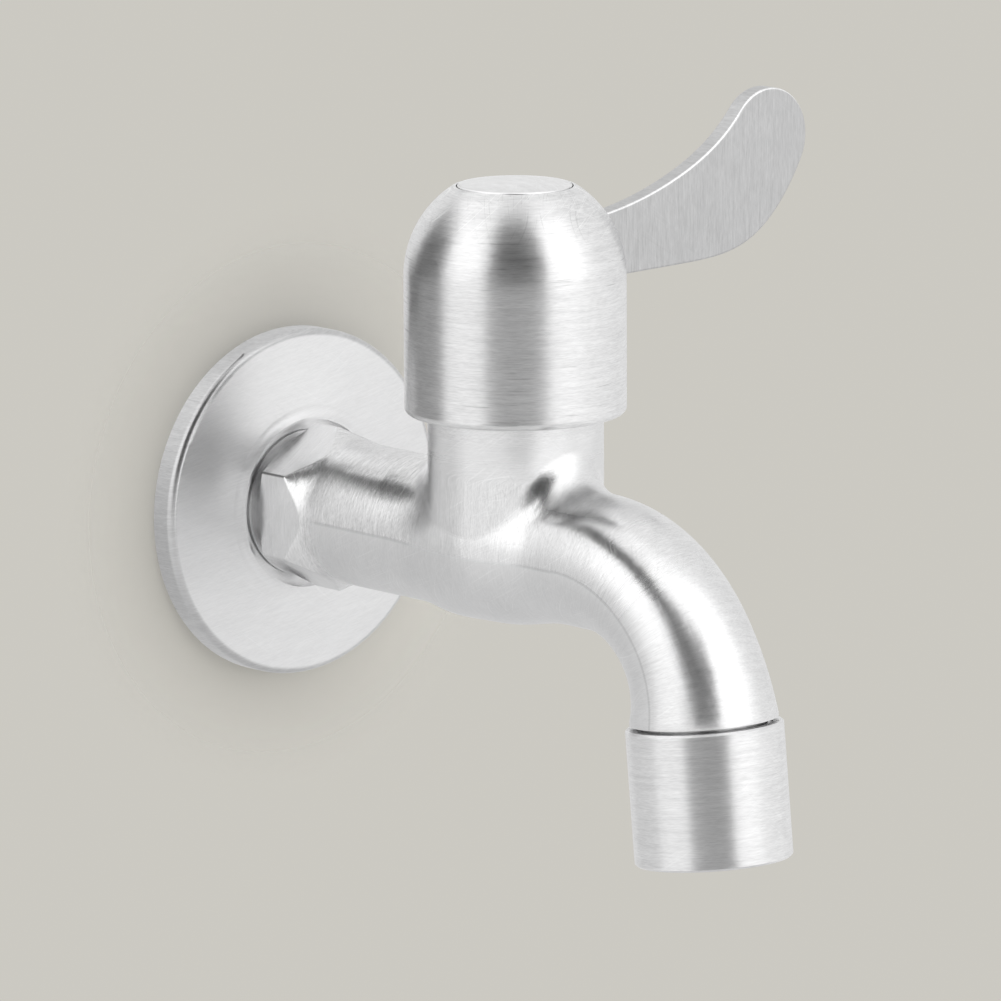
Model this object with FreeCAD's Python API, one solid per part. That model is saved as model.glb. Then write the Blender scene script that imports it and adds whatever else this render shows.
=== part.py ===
"""Wall-mounted quick-turn bib tap in brushed stainless steel, one STEP file per piece.

Frame, in millimetres: the inlet shank lies along Y, its axis at X = 0, Z = 0. The wall is the
plane Y = 0, with the wall itself at positive Y and the tap standing out towards negative Y.
Z is up. The lever points to +X, where the tap is closed.
"""

import FreeCAD
import Part

import math
import os

from FreeCAD import Vector

# Inlet shank, shoulder and hexagon
thread_radius = 10.478          # G1/2 outside radius
thread_length = 14.0
thread_chamfer = 0.9
journal_radius = 11.1           # plain length that carries the wall flange
shoulder_radius = 12.1
shoulder_edge = 0.4
hexagon_across_flats = 24.0
hexagon_corner_round = 0.6
hexagon_start = 6.8             # distances in front of the wall
hexagon_back_chamfer = 0.8
hexagon_ridge_end = 13.0
hexagon_fairing_end = 18.8
inlet_bore_radius = 7.25

# Wall flange
flange_radius = 28.9
flange_rim_depth = 4.4          # the face rises a little from the rim to the seat
flange_depth = 5.5
flange_sheet = 0.8
flange_fold = 1.3
flange_recess_radius = 14.0
flange_recess_depth = 1.6
flange_lip_height = 0.35
flange_hole_clearance = 0.25

# Body: horizontal pipe with a swell under the valve, upright neck and bent spout
pipe_radius = 11.75
valve_reach = 56.5              # upright axis in front of the wall
swell_before = 18.5             # the swell grows over this length before the valve axis
swell_lift_before = 12.5        # and rises over this one
swell_after = 15.0
swell_lead = 6.0                # plain length drawn with the swell
swell_radius = 14.35
swell_rise = 1.9                # centre of the swell above the inlet axis
neck_radius = 14.2
neck_top = 29.8
neck_blend = 6.5
spout_rise = 0.45               # spout root above the inlet axis
bend_after = 20.3               # the spout is level this far beyond the valve axis
bend_radius = 24.0
outlet_tilt = 6.0               # degrees forward of straight down
spout_root_radius = 11.0
spout_waist_radius = 10.6
spout_end_radius = 11.85
spout_land = 0.5
spout_bore_radius = 7.6
spout_thread_radius = 10.9
spout_thread_length = 10.0

# Waterways inside the body
chamber_radius = 11.2
chamber_top = 15.2
chamber_floor = 3.0
septum = 2.8                    # wall between the valve chamber and the feed
feed_radius = 4.8
feed_after = 2.5                # end of the feed beyond the valve axis
taper_before = 11.5             # end of the inlet's taper before the valve axis
taper_length = 11.0
seat_hole_radius = 5.5
weir_radius = 6.0
weir_rise = 0.6
weir_after = 9.0                # start of the weir beyond the valve axis

# Valve cartridge
fit_gap = 0.08                  # radial gap of a screwed joint
running_gap = 0.06              # radial gap of a turning joint
seal_height = 3.0
fixed_disc_height = 2.6
moving_disc_height = 2.8
disc_radius = 8.3
disc_gap = 0.1
port_radius = 5.6
port_inner_radius = 1.6
port_angle = 76.0               # degrees covered by one port
skirt_radius = 9.0
skirt_start = 4.0
window_width = 9.0
window_margin = 0.4
driver_height = 2.0
driver_tongue = 1.1
driver_tongue_width = 3.0
tongue_side_gap = 0.1
thrust_washer_height = 0.6
thrust_washer_radius = 7.6
barrel_hexagon = 22.0
barrel_hexagon_height = 5.0
barrel_top_radius = 7.2
gasket_height = 0.8
gasket_radius = 13.4

# Spindle
stem_radius = 4.0
o_ring_section = 0.9
o_ring_count = 2
o_ring_pitch = 6.0
o_ring_first_height = 10.0      # above the barrel's inner shoulder
o_ring_side_gap = 0.15
circlip_height = 0.8
circlip_width = 2.1
circlip_depth = 0.55
circlip_opening = 50.0          # degrees
spline_teeth = 20
spline_depth = 0.4
spline_length = 8.1
spline_gap = 0.1

# Handle
dome_radius = 17.9
dome_bottom = 22.05
dome_shoulder = 44.35
dome_arc_radius = 17.2
dome_wall = 1.3
dome_lip_round = 1.1
dome_land_radius = 9.9
cap_radius = 9.25
cap_gap = 0.2
cap_edge = 0.35
cap_recess_depth = 4.4
cap_plate = 1.0
cap_crown = 0.45
cap_proud = 0.3
cap_skirt_wall = 1.0
cap_ring_section = 0.84
web_thickness = 1.4
insert_radius = 7.4
insert_web = 0.8
insert_wall = 1.55
insert_height = 8.7
insert_headroom = 2.6           # above the cartridge's top
press_gap = 0.05

# Lever blade, seen from the front: X outwards from the upright axis, Z up
lever_thickness = 3.2
lever_edge_round = 0.35
lever_root_low = 41.7
lever_root_high = 52.7
lever_tip_radius = 8.3
lever_tip_x = 54.9
lever_tip_z = 61.05
lever_neck_x = 33.0
lever_neck_low = 42.3
lever_neck_high = 56.3
lever_belly_x = 51.2
lever_belly_z = 45.1
tenon_height = 6.4
tenon_reach = 2.6
tenon_gap = 0.05

# Handle screw
screw_radius = 1.95
screw_hole_gap = 0.05
screw_head_radius = 3.6
screw_head_height = 2.1
screw_length = 11.6
screw_slot_width = 1.0
screw_slot_length = 4.6
screw_slot_depth = 1.1
spring_washer_height = 0.8
spring_washer_slit = 1.0
screw_clearance_radius = 2.3

# Nozzle collar and aerator, measured down the outlet axis from the end of the bend
collar_radius = 12.6
collar_gap = 0.6
collar_length = 21.75
collar_edge = 0.35
collar_ledge = 14.0             # where the thread bore steps in to hold the aerator
collar_lip_radius = 9.5
collar_lip_height = 1.2
washer_height = 2.0
aerator_radius = 10.2
aerator_flange_radius = 10.8
aerator_wall = 1.3
diffuser_height = 1.6
diffuser_hole_radius = 0.8
diffuser_hole_count = 10
diffuser_hole_circle = 6.0
screen_thickness = 0.5
screen_count = 2
screen_pitch = 1.3
screen_hole = 2.1
screen_bar = 0.7
grid_height = 1.6
grid_hole_radius = 1.25
grid_hole_pitch = 3.1
aerator_inner_gap = 0.05

# Places worked out from the sizes above
X_AXIS = Vector(1, 0, 0)
Y_AXIS = Vector(0, 1, 0)
Z_AXIS = Vector(0, 0, 1)
VALVE = Vector(0, -valve_reach, 0)
swell_start = valve_reach - swell_before
swell_end = valve_reach + swell_after
bend_start = valve_reach + bend_after
feed_end = valve_reach + feed_after
inlet_taper_end = valve_reach - taper_before
inlet_taper_start = inlet_taper_end - taper_length
weir_start = valve_reach + weir_after
recess_floor = flange_depth - flange_recess_depth     # in front of the wall
bend_angle = 90.0 - outlet_tilt
bend_centre = Vector(0, -bend_start, spout_rise - bend_radius)
bend_turn = math.radians(bend_angle)
outlet_origin = bend_centre + Vector(0, -bend_radius * math.sin(bend_turn), bend_radius * math.cos(bend_turn))
collar_top = spout_land + collar_gap
collar_bottom = collar_top + collar_length
spout_end = spout_land + spout_thread_length
aerator_top = spout_end + washer_height
aerator_bottom = collar_bottom - collar_lip_height
seal_top = chamber_floor + seal_height
fixed_disc_top = seal_top + fixed_disc_height
moving_disc_top = fixed_disc_top + moving_disc_height
driver_top = moving_disc_top + driver_height
barrel_shoulder = driver_top + thrust_washer_height
barrel_seat = neck_top + gasket_height
barrel_hexagon_top = barrel_seat + barrel_hexagon_height
bore_radius = stem_radius + running_gap
skirt_bore = disc_radius + disc_gap
dome_arc_centre = dome_radius - dome_arc_radius


def arc_height(radius, arc_radius):
    """Height on the dome's shoulder arc at a distance from its axis."""
    return dome_shoulder + math.sqrt(arc_radius ** 2 - (radius - dome_arc_centre) ** 2)


dome_top = arc_height(dome_land_radius, dome_arc_radius)
recess_radius = cap_radius + cap_gap
recess_bottom = dome_top - cap_recess_depth
web_bottom = recess_bottom - web_thickness
insert_bottom = web_bottom - insert_height
barrel_end = insert_bottom - insert_headroom
spline_top = web_bottom - insert_web - 2 * spline_gap
spline_bottom = spline_top - spline_length


def outline(points):
    """A closed wire in the XZ plane from (x, z) points; a pair of points is an arc's middle and end."""
    def place(point):
        return Vector(point[0], 0, point[1])

    edges = []
    start = place(points[0])
    for step in points[1:] + [points[0]]:
        if isinstance(step[0], tuple):
            middle, end = place(step[0]), place(step[1])
            edges.append(Part.Arc(start, middle, end).toShape())
        else:
            end = place(step)
            if (end - start).Length > 1e-7:
                edges.append(Part.makeLine(start, end))
        start = end
    return Part.Wire(edges)


def turned(points):
    """A solid of revolution about Z from a profile of (radius, height) steps."""
    face = Part.Face(outline(points))
    return face.revolve(Vector(0, 0, 0), Z_AXIS, 360)


def along_inlet(shape):
    """Lays a shape made about Z along the inlet axis, so that its height runs out from the wall."""
    laid = shape.copy()
    laid.rotate(Vector(0, 0, 0), X_AXIS, 90)
    return laid


def on_valve(shape):
    """Moves a shape made about Z onto the upright axis."""
    moved = shape.copy()
    moved.translate(VALVE)
    return moved


def on_outlet(shape):
    """Places a shape made about Z on the outlet axis, so that its height runs down and out."""
    placed = shape.copy()
    placed.rotate(Vector(0, 0, 0), X_AXIS, 180 - outlet_tilt)
    placed.translate(outlet_origin)
    return placed


def cylinder(radius, low, high):
    """An upright cylinder about Z between two heights."""
    return Part.makeCylinder(radius, high - low, Vector(0, 0, low))


def ring(inner, outer, low, high):
    """A flat ring about Z between two heights."""
    return cylinder(outer, low, high).cut(cylinder(inner, low, high))


def box(width, depth, low, high, x=0.0, y=0.0):
    """A box centred on (x, y) between two heights."""
    return Part.makeBox(width, depth, high - low, Vector(x - width / 2, y - depth / 2, low))


def hexagon(across_flats, low, high, corner_angle=0.0):
    """A hexagonal prism about Z with a corner at an angle from X."""
    corner = across_flats / math.sqrt(3)
    turns = [math.radians(corner_angle + 60 * i) for i in range(7)]
    wire = Part.makePolygon([Vector(corner * math.cos(t), corner * math.sin(t), low) for t in turns])
    return Part.Face(wire).extrude(Vector(0, 0, high - low))


def arc_middle(start, end, bulge):
    """The middle of an arc between two points, offset sideways by bulge."""
    dx, dz = end[0] - start[0], end[1] - start[1]
    length = math.hypot(dx, dz)
    return ((start[0] + end[0]) / 2 - bulge * dz / length,
            (start[1] + end[1]) / 2 + bulge * dx / length)


def wall_flange():
    """Drawn dish with a folded rim, a pressed seat for the shoulder and a hole for the shank."""
    hole = journal_radius + flange_hole_clearance
    corner = flange_fold * (1 - math.sqrt(0.5))
    inner_fold = flange_fold - flange_sheet
    inner_corner = inner_fold * (1 - math.sqrt(0.5))
    inner = flange_radius - flange_sheet
    back = flange_rim_depth - flange_sheet
    lip = flange_recess_radius + flange_sheet / 2
    profile = [
        (flange_radius, 0),
        (flange_radius, flange_rim_depth - flange_fold),
        ((flange_radius - corner, flange_rim_depth - corner), (flange_radius - flange_fold, flange_rim_depth)),
        (flange_recess_radius + 3 * flange_sheet, flange_depth),
        ((lip + flange_sheet, flange_depth + 0.3 * flange_lip_height), (lip, flange_depth + flange_lip_height)),
        (flange_recess_radius, flange_depth + flange_lip_height),
        (flange_recess_radius, recess_floor),
        (hole, recess_floor),
        (hole, recess_floor - flange_sheet),
        (flange_recess_radius + flange_sheet, recess_floor - flange_sheet),
        (flange_recess_radius + flange_sheet, flange_depth - flange_sheet),
        (inner - inner_fold, back),
        ((inner - inner_corner, back - inner_corner), (inner, back - inner_fold)),
        (inner, 0),
    ]
    return along_inlet(turned(profile))


def inlet_end():
    """Shank, shoulder and hexagon, faired down to the pipe."""
    shank = turned([
        (0, -thread_length),
        (thread_radius - thread_chamfer, -thread_length),
        (thread_radius, -thread_length + thread_chamfer),
        (thread_radius, 0),
        (journal_radius, 0),
        (journal_radius, recess_floor),
        (shoulder_radius - shoulder_edge, recess_floor),
        (shoulder_radius, recess_floor + shoulder_edge),
        (shoulder_radius, hexagon_start),
        (pipe_radius, hexagon_ridge_end),
        (0, hexagon_ridge_end),
    ])
    corner = hexagon_across_flats / math.sqrt(3)
    fairing_start = (corner, hexagon_ridge_end)
    fairing_end = (pipe_radius, hexagon_fairing_end)
    envelope = turned([
        (0, hexagon_start),
        (shoulder_radius, hexagon_start),
        (corner, hexagon_start + hexagon_back_chamfer),
        fairing_start,
        (arc_middle(fairing_start, fairing_end, 0.5), fairing_end),
        (0, hexagon_fairing_end),
    ])
    nut = hexagon(hexagon_across_flats, hexagon_start, hexagon_fairing_end, 90).common(envelope)
    past_chamfer = hexagon_start + 2 * hexagon_back_chamfer
    before_end = hexagon_fairing_end - hexagon_corner_round
    polished = [edge for edge in nut.Edges
                if edge.CenterOfMass.z > past_chamfer and all(v.Z < before_end for v in edge.Vertexes)]
    return along_inlet(shank.fuse(nut.makeFillet(hexagon_corner_round, polished)))


def hoop(radius, turn, point):
    """Circle across the pipe's centre line, which has turned down from level by an angle."""
    circle = Part.Wire(Part.makeCircle(radius))
    circle.rotate(Vector(0, 0, 0), Z_AXIS, -90)
    circle.rotate(Vector(0, 0, 0), X_AXIS, 90 + turn)
    circle.translate(point)
    return circle


def spout_radius(share):
    """Outside radius of the spout at a share of the bend: drawn in, then flared at the end."""
    waist = 0.55
    if share < waist:
        return spout_waist_radius + (spout_root_radius - spout_waist_radius) * (1 - share / waist) ** 2
    return spout_waist_radius + (spout_end_radius - spout_waist_radius) * ((share - waist) / (1 - waist)) ** 2.4


def ease(share):
    """Smooth step from 0 to 1."""
    share = min(max(share, 0.0), 1.0)
    return share * share * (3 - 2 * share)


def along_pipe(reach, at_wall, at_valve, at_bend, before):
    """A size that flows from its inlet value through its value under the valve to the bend's."""
    if reach <= valve_reach:
        return at_wall + (at_valve - at_wall) * ease(1 - (valve_reach - reach) / before)
    return at_valve + (at_bend - at_valve) * ease((reach - valve_reach) / (swell_end - valve_reach))


def level_hoop(reach):
    """Section of the level pipe at a distance from the wall."""
    radius = along_pipe(reach, pipe_radius, swell_radius, spout_root_radius, swell_before)
    height = along_pipe(reach, 0.0, swell_rise, spout_rise, swell_lift_before)
    return hoop(radius, 0, Vector(0, -reach, height))


def pipe_and_spout():
    """One flowing tube: inlet pipe, swell under the valve and bent spout with its flared end."""
    straight = along_inlet(cylinder(pipe_radius, hexagon_start, swell_start - swell_lead))
    count = 5
    reaches = [swell_start - swell_lead, swell_start - swell_lead / 2]
    reaches += [swell_start + (valve_reach - swell_start) * i / count for i in range(count + 1)]
    reaches += [valve_reach + (swell_end - valve_reach) * (i + 1) / count for i in range(count)]
    reaches.append(bend_start)
    sections = [level_hoop(reach) for reach in reaches]
    bend_count = 9
    for i in range(1, bend_count + 1):
        share = i / bend_count
        turn = bend_turn * share
        point = bend_centre + Vector(0, -bend_radius * math.sin(turn), bend_radius * math.cos(turn))
        sections.append(hoop(spout_radius(share), bend_angle * share, point))
    return straight.fuse(Part.makeLoft(sections, True, False))


def spout_tail():
    """The spout's end land and the thread that takes the collar."""
    return on_outlet(turned([
        (0, 0),
        (spout_end_radius, 0),
        (spout_end_radius, spout_land),
        (spout_thread_radius, spout_land),
        (spout_thread_radius, spout_end - thread_chamfer),
        (spout_thread_radius - thread_chamfer, spout_end),
        (0, spout_end),
    ]))


def waterways():
    """Everything bored out of the body: inlet, feed under the seat, valve chamber and spout."""
    feed_axis = chamber_floor - septum - feed_radius
    inlet = along_inlet(cylinder(inlet_bore_radius, -thread_length, inlet_taper_start))
    wide = Part.Wire(Part.Circle(Vector(0, -inlet_taper_start, 0), Y_AXIS, inlet_bore_radius).toShape())
    narrow = Part.Wire(Part.Circle(Vector(0, -inlet_taper_end, feed_axis), Y_AXIS, feed_radius).toShape())
    taper = Part.makeLoft([wide, narrow], True, True)
    feed = Part.makeCylinder(feed_radius, feed_end - inlet_taper_end,
                             Vector(0, -inlet_taper_end, feed_axis), -Y_AXIS)
    feed_nose = Part.makeSphere(feed_radius, Vector(0, -feed_end, feed_axis))
    seat = on_valve(cylinder(seat_hole_radius, feed_axis, chamber_floor))
    chamber = on_valve(cylinder(chamber_radius, chamber_floor, chamber_top))
    neck_bore = on_valve(cylinder(thread_radius + fit_gap, chamber_top, neck_top))
    weir = Part.makeCylinder(weir_radius, bend_start - weir_start,
                             Vector(0, -weir_start, chamber_floor + weir_rise), -Y_AXIS)
    front_start = valve_reach + chamber_radius + 1.0
    front = Part.makeCylinder(spout_bore_radius, bend_start - front_start,
                              Vector(0, -front_start, spout_rise), -Y_AXIS)
    root = Vector(0, -bend_start, spout_rise)
    mouth = Part.Face(Part.Wire(Part.Circle(root, Y_AXIS, spout_bore_radius).toShape()))
    bend = mouth.revolve(bend_centre, X_AXIS, bend_angle)
    outlet = on_outlet(cylinder(spout_bore_radius, 0, spout_end))
    return inlet.fuse([taper, feed, feed_nose, seat, chamber, neck_bore, weir, front, bend, outlet])


def neck_foot(shape):
    """Edges where the upright neck meets the pipe: on the neck's side, but not level."""
    found = []
    for edge in shape.Edges:
        first, last = edge.ParameterRange
        points = [edge.valueAt(first + (last - first) * share) - VALVE for share in (0.0, 0.2, 0.5, 0.8, 1.0)]
        on_side = all(abs(math.hypot(p.x, p.y) - neck_radius) < 0.02 for p in points)
        slant = max(p.z for p in points) - min(p.z for p in points) > 0.05
        turning = max(p.x for p in points) - min(p.x for p in points) > 0.05
        if on_side and slant and turning:
            found.append(edge)
    return found


def tap_body():
    """The casting: pipe, neck and spout in one, blended where they meet and bored through."""
    neck = on_valve(cylinder(neck_radius, swell_rise, neck_top))
    neck.rotate(VALVE, Z_AXIS, 90)
    solid = pipe_and_spout().fuse(neck).removeSplitter()
    solid = solid.makeFillet(neck_blend, neck_foot(solid))
    solid = solid.fuse([inlet_end(), spout_tail()])
    return solid.cut(waterways()).removeSplitter()


def sector(inner, outer, low, high, middle_angle, spread):
    """A ring sector about Z."""
    start = math.radians(middle_angle - spread / 2)
    end = math.radians(middle_angle + spread / 2)
    middle = (start + end) / 2

    def at(radius, angle):
        return Vector(radius * math.cos(angle), radius * math.sin(angle), low)

    wire = Part.Wire([
        Part.makeLine(at(inner, start), at(outer, start)),
        Part.Arc(at(outer, start), at(outer, middle), at(outer, end)).toShape(),
        Part.makeLine(at(outer, end), at(inner, end)),
        Part.Arc(at(inner, end), at(inner, middle), at(inner, start)).toShape(),
    ])
    return Part.Face(wire).extrude(Vector(0, 0, high - low))


def seat_seal():
    """Rubber ring that the cartridge presses on the valve seat."""
    return on_valve(ring(seat_hole_radius + 0.1, disc_radius, chamber_floor, seal_top))


def fixed_disc():
    """Lower ceramic disc with its two ports on the Y axis."""
    disc = cylinder(disc_radius, seal_top, fixed_disc_top)
    for angle in (90, 270):
        disc = disc.cut(sector(port_inner_radius, port_radius, seal_top, fixed_disc_top, angle, port_angle))
    return on_valve(disc)


def moving_disc():
    """Upper ceramic disc: two ports open at its side, closed at rest, and a slot for the spindle."""
    disc = cylinder(disc_radius - disc_gap, fixed_disc_top, moving_disc_top)
    for angle in (0, 180):
        disc = disc.cut(sector(port_inner_radius + 1.4, 2 * disc_radius, fixed_disc_top, moving_disc_top,
                               angle, port_angle))
    slot = box(driver_tongue_width + 2 * tongue_side_gap, 2 * disc_radius,
               moving_disc_top - driver_tongue - tongue_side_gap, moving_disc_top)
    return on_valve(disc.cut(slot))


def cartridge_barrel():
    """Brass headwork: windowed skirt round the discs, thread, hexagon and the spindle's bearing."""
    thread_start = chamber_top + 0.8
    thread_outer = thread_radius
    outside = turned([
        (0, skirt_start),
        (skirt_radius, skirt_start),
        (skirt_radius, thread_start),
        (thread_outer, thread_start + (thread_outer - skirt_radius)),
        (thread_outer, barrel_seat),
        (barrel_hexagon / 2 - 0.3, barrel_seat),
        (barrel_hexagon / 2 - 0.3, barrel_hexagon_top),
        (barrel_top_radius, barrel_hexagon_top),
        (barrel_top_radius, barrel_end - 0.6),
        (barrel_top_radius - 0.6, barrel_end),
        (0, barrel_end),
    ])
    corner = barrel_hexagon / math.sqrt(3)
    envelope = turned([
        (0, barrel_seat),
        (corner, barrel_seat),
        (corner, barrel_hexagon_top - 0.8),
        (barrel_hexagon / 2, barrel_hexagon_top),
        (0, barrel_hexagon_top),
    ])
    nut = hexagon(barrel_hexagon, barrel_seat, barrel_hexagon_top).common(envelope)
    barrel = outside.fuse(nut)
    barrel = barrel.cut(cylinder(skirt_bore, skirt_start, barrel_shoulder))
    barrel = barrel.cut(cylinder(bore_radius, barrel_shoulder, barrel_end))
    window = box(window_width, 4 * skirt_radius, fixed_disc_top + window_margin, driver_top)
    return on_valve(barrel.cut(window).removeSplitter())


def cartridge_gasket():
    """Flat ring between the neck's top face and the cartridge's hexagon."""
    return on_valve(ring(thread_radius + fit_gap, gasket_radius, neck_top, barrel_seat))


def thrust_washer():
    """Slippery ring between the spindle's driver plate and the barrel's shoulder."""
    return on_valve(ring(bore_radius + 0.2, thrust_washer_radius, driver_top, barrel_shoulder))


def groove_heights():
    """Middle heights of the spindle's ring grooves."""
    return [barrel_shoulder + o_ring_first_height + o_ring_pitch * i for i in range(o_ring_count)]


def spline_outline(outer, inner, low, high):
    """Toothed prism with straight-sided teeth, about Z."""
    points = []
    for i in range(spline_teeth):
        for share, radius in ((0.0, outer), (0.3, outer), (0.5, inner), (0.8, inner)):
            turn = 2 * math.pi * (i + share) / spline_teeth
            points.append(Vector(radius * math.cos(turn), radius * math.sin(turn), low))
    return Part.Face(Part.makePolygon(points + points[:1])).extrude(Vector(0, 0, high - low))


def spindle():
    """Brass stem: driver plate and tongue, ring grooves, circlip groove, spline and tapped end."""
    groove_radius = stem_radius - o_ring_section - running_gap
    half_groove = o_ring_section / 2 + o_ring_side_gap
    plate = cylinder(disc_radius - 2 * disc_gap, moving_disc_top, driver_top)
    tongue = box(driver_tongue_width, 2 * (disc_radius - 2 * disc_gap), moving_disc_top - driver_tongue,
                 moving_disc_top)
    tongue = tongue.common(cylinder(disc_radius - 2 * disc_gap, moving_disc_top - driver_tongue, moving_disc_top))
    stem = cylinder(stem_radius, driver_top, spline_bottom)
    teeth = spline_outline(stem_radius - spline_gap, stem_radius - spline_gap - spline_depth,
                           spline_bottom, spline_top)
    body = plate.fuse([tongue, stem, teeth]).removeSplitter()
    for height in groove_heights():
        body = body.cut(ring(groove_radius, 2 * stem_radius, height - half_groove, height + half_groove))
    clip_low = barrel_end + running_gap
    body = body.cut(ring(stem_radius - circlip_depth, 2 * stem_radius, clip_low,
                         clip_low + circlip_height + running_gap))
    tapping = cylinder(screw_radius + screw_hole_gap, spring_top() - screw_length - 1.0, spline_top)
    return on_valve(body.cut(tapping))


def spindle_o_rings():
    """The spindle's sealing rings, each in its groove."""
    section = o_ring_section / 2
    rings = [Part.makeTorus(stem_radius - section, section, Vector(0, 0, height)) for height in groove_heights()]
    return on_valve(Part.makeCompound(rings))


def spindle_circlip():
    """Open spring clip that keeps the spindle in the barrel."""
    inner = stem_radius - circlip_depth + 0.02
    low = barrel_end + 1.5 * running_gap
    clip = ring(inner, inner + circlip_width, low, low + circlip_height)
    opening = sector(inner - 1.0, inner + 2 * circlip_width, low, low + circlip_height, 0, circlip_opening)
    return on_valve(clip.cut(opening))


def spring_top():
    """Height of the spring washer's top, under the screw's head."""
    return recess_bottom + spring_washer_height


def dome_envelope(grow=0.0):
    """The dome's outside as a filled solid, grown by a margin."""
    outer = dome_radius + grow
    arc = dome_arc_radius + grow
    land = dome_land_radius
    start = math.pi / 2 - math.acos(0.0)
    end = math.acos((land - dome_arc_centre) / arc)
    middle = (start + end) / 2
    top = arc_height(land, arc)
    return turned([
        (0, dome_bottom),
        (outer, dome_bottom),
        (outer, dome_shoulder),
        ((dome_arc_centre + arc * math.cos(middle), dome_shoulder + arc * math.sin(middle)), (land, top)),
        (0, top),
    ])


def handle_dome():
    """Spun dome: thin wall, recess for the cap, web for the screw and a socket for the insert."""
    inner_arc = dome_arc_radius - dome_wall
    wall_radius = recess_radius + dome_wall
    inner_end = math.acos((wall_radius - dome_arc_centre) / inner_arc)
    outer_end = math.acos((dome_land_radius - dome_arc_centre) / dome_arc_radius)
    lip = dome_lip_round * (1 - math.sqrt(0.5))
    socket_outer = insert_radius + press_gap + insert_wall
    socket_bottom = insert_bottom + 1.5

    def on_arc(radius, angle):
        return (dome_arc_centre + radius * math.cos(angle), dome_shoulder + radius * math.sin(angle))

    dome = turned([
        (dome_radius - dome_wall, dome_bottom),
        (dome_radius - dome_wall, dome_shoulder),
        (on_arc(inner_arc, inner_end / 2), on_arc(inner_arc, inner_end)),
        (wall_radius, web_bottom),
        (socket_outer, web_bottom),
        (socket_outer, socket_bottom),
        (insert_radius + press_gap, socket_bottom),
        (insert_radius + press_gap, web_bottom),
        (screw_clearance_radius, web_bottom),
        (screw_clearance_radius, recess_bottom),
        (recess_radius, recess_bottom),
        (recess_radius, dome_top),
        (dome_land_radius, dome_top),
        (on_arc(dome_arc_radius, outer_end / 2), (dome_radius, dome_shoulder)),
        (dome_radius, dome_bottom + dome_lip_round),
        ((dome_radius - lip, dome_bottom + lip), (dome_radius - dome_lip_round, dome_bottom)),
    ])
    return on_valve(dome.cut(tenon(tenon_gap)))


def tenon(grow=0.0):
    """The lever's tongue through the dome's wall, about the upright axis."""
    middle = (lever_root_low + lever_root_high) / 2
    inner = dome_radius - dome_wall - tenon_reach
    return Part.makeBox(dome_radius - inner + 1.0, lever_thickness + 2 * grow, tenon_height + 2 * grow,
                        Vector(inner, -lever_thickness / 2 - grow, middle - tenon_height / 2 - grow))


def lever_outline():
    """Front view of the blade: a root on the dome, a waist and a round upswept paddle."""
    root = dome_arc_centre
    start = Vector(root, 0, lever_root_low)
    belly = Vector(lever_belly_x, 0, lever_belly_z)
    neck_low = Vector(lever_neck_x, 0, lever_neck_low)
    tip = Vector(lever_tip_x, 0, lever_tip_z)

    def on_tip(degrees):
        turn = math.radians(degrees)
        return tip + Vector(lever_tip_radius * math.cos(turn), 0, lever_tip_radius * math.sin(turn))

    low_end, high_end = on_tip(-28), on_tip(140)
    low_edge = Part.BSplineCurve()
    low_edge.interpolate([neck_low, belly, low_end],
                         InitialTangent=Vector(1, 0, 0.02),
                         FinalTangent=Vector(math.cos(math.radians(62)), 0, math.sin(math.radians(62))))
    neck_high = Vector(lever_neck_x, 0, lever_neck_high)
    root_high = Vector(root, 0, lever_root_high - 1.2)
    high_edge = Part.BSplineCurve()
    high_edge.interpolate([high_end, neck_high, root_high],
                          InitialTangent=Vector(-math.cos(math.radians(50)), 0, -math.sin(math.radians(50))),
                          FinalTangent=Vector(-1, 0, 0))
    paddle = Part.Arc(low_end, on_tip(56), high_end)
    return Part.Wire([
        Part.makeLine(start, neck_low),
        low_edge.toShape(),
        paddle.toShape(),
        high_edge.toShape(),
        Part.makeLine(root_high, start),
    ])


def lever_blade():
    """Flat blade with softened edges, seated on the dome and tongued through its wall."""
    face = Part.Face(lever_outline())
    blade = face.extrude(Vector(0, lever_thickness, 0))
    blade.translate(Vector(0, -lever_thickness / 2, 0))
    rim = [edge for edge in blade.Edges
           if abs(edge.CenterOfMass.y) > lever_thickness / 2 - 0.01 and edge.BoundBox.XMax > dome_radius + 1.0]
    blade = blade.makeFillet(lever_edge_round, rim)
    blade = blade.cut(dome_envelope(tenon_gap))
    return on_valve(blade.fuse(tenon()).removeSplitter())


def spline_insert():
    """Toothed bush pressed into the dome, driving the spindle."""
    bush = cylinder(insert_radius, insert_bottom, web_bottom)
    socket = spline_outline(stem_radius, stem_radius - spline_depth, insert_bottom, web_bottom - insert_web)
    hole = cylinder(screw_clearance_radius, web_bottom - insert_web, web_bottom)
    return on_valve(bush.cut(socket.fuse(hole)))


def spring_washer():
    """Split ring under the screw's head."""
    washer = ring(screw_radius + 0.25, screw_head_radius, recess_bottom, spring_top())
    slit = box(2 * screw_head_radius, spring_washer_slit, recess_bottom, spring_top(), x=-screw_head_radius)
    return on_valve(washer.cut(slit))


def handle_screw():
    """Pan-head screw with a cross recess, holding the handle on the spindle."""
    base = spring_top()
    top = base + screw_head_height
    round_over = 0.7
    screw = turned([
        (0, base - screw_length),
        (screw_radius - 0.5, base - screw_length),
        (screw_radius, base - screw_length + 0.5),
        (screw_radius, base),
        (screw_head_radius, base),
        (screw_head_radius, top - round_over),
        ((screw_head_radius - 0.3 * round_over, top - 0.3 * round_over), (screw_head_radius - round_over, top)),
        (0, top),
    ])
    for length, width in ((screw_slot_length, screw_slot_width), (screw_slot_width, screw_slot_length)):
        screw = screw.cut(box(length, width, top - screw_slot_depth, top))
    return on_valve(screw)


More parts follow.
